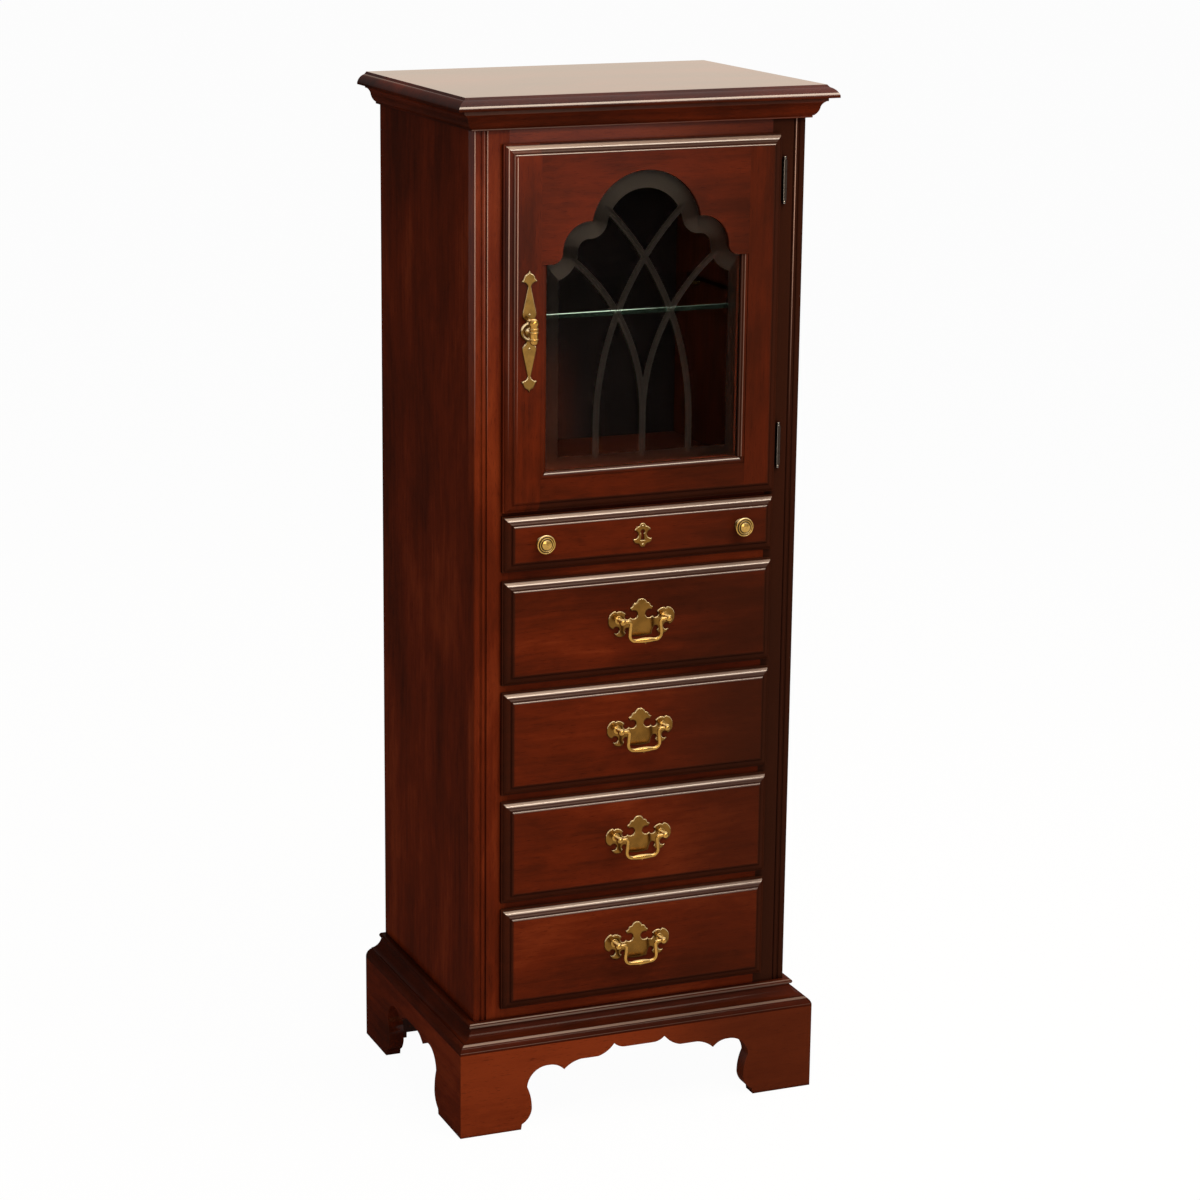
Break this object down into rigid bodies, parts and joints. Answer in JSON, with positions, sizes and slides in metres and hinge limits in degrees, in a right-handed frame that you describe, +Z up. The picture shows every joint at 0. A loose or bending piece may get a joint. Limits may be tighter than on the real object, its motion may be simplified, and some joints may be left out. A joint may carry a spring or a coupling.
{
  "type": "tall narrow chest of drawers",
  "caption": "Tall narrow wooden chest with an arched, bevelled-glass cupboard door over a shallow drawer and deep drawers, brass bail pulls and a scrolled bracket base.",
  "frame": {"origin": "on the floor, under the middle of the whole part's box", "axes": "+Z up, the front faces -Y, +X to the right as seen from the front, the door's hinge side"},
  "size_m": [0.4918, 0.3764, 1.3],
  "materials": {
    "case_wood": "dark red-brown satin lacquer",
    "front_wood": "dark red-brown satin lacquer",
    "inner_wood": "bare, lightly sealed",
    "drawer_wood": "bare, lightly sealed",
    "back_ply": "stained plywood",
    "glass": "clear, bevelled and engraved",
    "brass": "aged brass with dark hollows",
    "steel": "zinc plated",
    "catch_plastic": "moulded brown"
  },
  "bodies": {
    "case": {"top_board": "case_wood", "cornice": "case_wood", "side_panel_left": "case_wood", "side_panel_right": "case_wood", "stile_left": "case_wood", "stile_right": "case_wood", "top_rail": "case_wood", "door_sill_rail": "case_wood", "drawer_rails": "case_wood", "bottom_rail": "case_wood", "back_panel": "back_ply", "cupboard_floor": "case_wood", "case_bottom": "inner_wood", "drawer_runners": "inner_wood", "top_cleats": "inner_wood", "glass_shelf": "glass", "shelf_pins": "brass", "base_moulding": "case_wood", "apron_front": "case_wood", "apron_left": "case_wood", "apron_right": "case_wood", "back_brackets": "inner_wood", "glue_blocks": "inner_wood", "hinge_case_leaves": "brass", "hinge_pins": "brass", "door_catch": "catch_plastic"},
    "door": {"door_stile_left": "front_wood", "door_stile_right": "front_wood", "door_arched_rail": "front_wood", "door_bottom_rail": "front_wood", "door_glass": "glass", "glass_stops": "front_wood", "hinge_door_leaves": "brass", "door_pull_plate": "brass", "catch_strike": "steel"},
    "door_pull_drop": {"door_pull_drop": "brass"},
    "shallow_drawer": {"shallow_drawer_front": "front_wood", "shallow_drawer_box": "drawer_wood", "shallow_drawer_knobs": "brass", "keyhole_escutcheon": "brass"},
    "drawer_1": {"drawer_1_front": "front_wood", "drawer_1_box": "drawer_wood", "drawer_1_plate": "brass", "drawer_1_posts": "brass"},
    "bail_1": {"drawer_1_bail": "brass"},
    "drawer_2": {"drawer_2_front": "front_wood", "drawer_2_box": "drawer_wood", "drawer_2_plate": "brass", "drawer_2_posts": "brass"},
    "bail_2": {"drawer_2_bail": "brass"},
    "drawer_3": {"drawer_3_front": "front_wood", "drawer_3_box": "drawer_wood", "drawer_3_plate": "brass", "drawer_3_posts": "brass"},
    "bail_3": {"drawer_3_bail": "brass"},
    "drawer_4": {"drawer_4_front": "front_wood", "drawer_4_box": "drawer_wood", "drawer_4_plate": "brass", "drawer_4_posts": "brass"},
    "bail_4": {"drawer_4_bail": "brass"}
  },
  "joints": [
    {"name": "door_swing", "type": "hinge", "parent": "case", "child": "door", "pos_m": [0.1865, -0.1554, 1.0203], "axis": [0, 0, 1], "range_deg": [0, 110]},
    {"name": "drop_swing", "type": "hinge", "parent": "door", "child": "door_pull_drop", "pos_m": [-0.1515, -0.1824, 1.0323], "axis": [-1, 0, 0], "range_deg": [-10, 70]},
    {"name": "shallow_drawer_slide", "type": "slide", "parent": "case", "child": "shallow_drawer", "axis": [0, -1, 0], "range_m": [0, 0.23]},
    {"name": "drawer_1_slide", "type": "slide", "parent": "case", "child": "drawer_1", "axis": [0, -1, 0], "range_m": [0, 0.23]},
    {"name": "bail_1_swing", "type": "hinge", "parent": "drawer_1", "child": "bail_1", "pos_m": [0, -0.1803, 0.65315], "axis": [-1, 0, 0], "range_deg": [-15, 95]},
    {"name": "drawer_2_slide", "type": "slide", "parent": "case", "child": "drawer_2", "axis": [0, -1, 0], "range_m": [0, 0.23]},
    {"name": "bail_2_swing", "type": "hinge", "parent": "drawer_2", "child": "bail_2", "pos_m": [0, -0.1803, 0.51195], "axis": [-1, 0, 0], "range_deg": [-15, 95]},
    {"name": "drawer_3_slide", "type": "slide", "parent": "case", "child": "drawer_3", "axis": [0, -1, 0], "range_m": [0, 0.23]},
    {"name": "bail_3_swing", "type": "hinge", "parent": "drawer_3", "child": "bail_3", "pos_m": [0, -0.1803, 0.37075], "axis": [-1, 0, 0], "range_deg": [-15, 95]},
    {"name": "drawer_4_slide", "type": "slide", "parent": "case", "child": "drawer_4", "axis": [0, -1, 0], "range_m": [0, 0.23]},
    {"name": "bail_4_swing", "type": "hinge", "parent": "drawer_4", "child": "bail_4", "pos_m": [0, -0.1803, 0.22955], "axis": [-1, 0, 0], "range_deg": [-15, 95]}
  ]
}
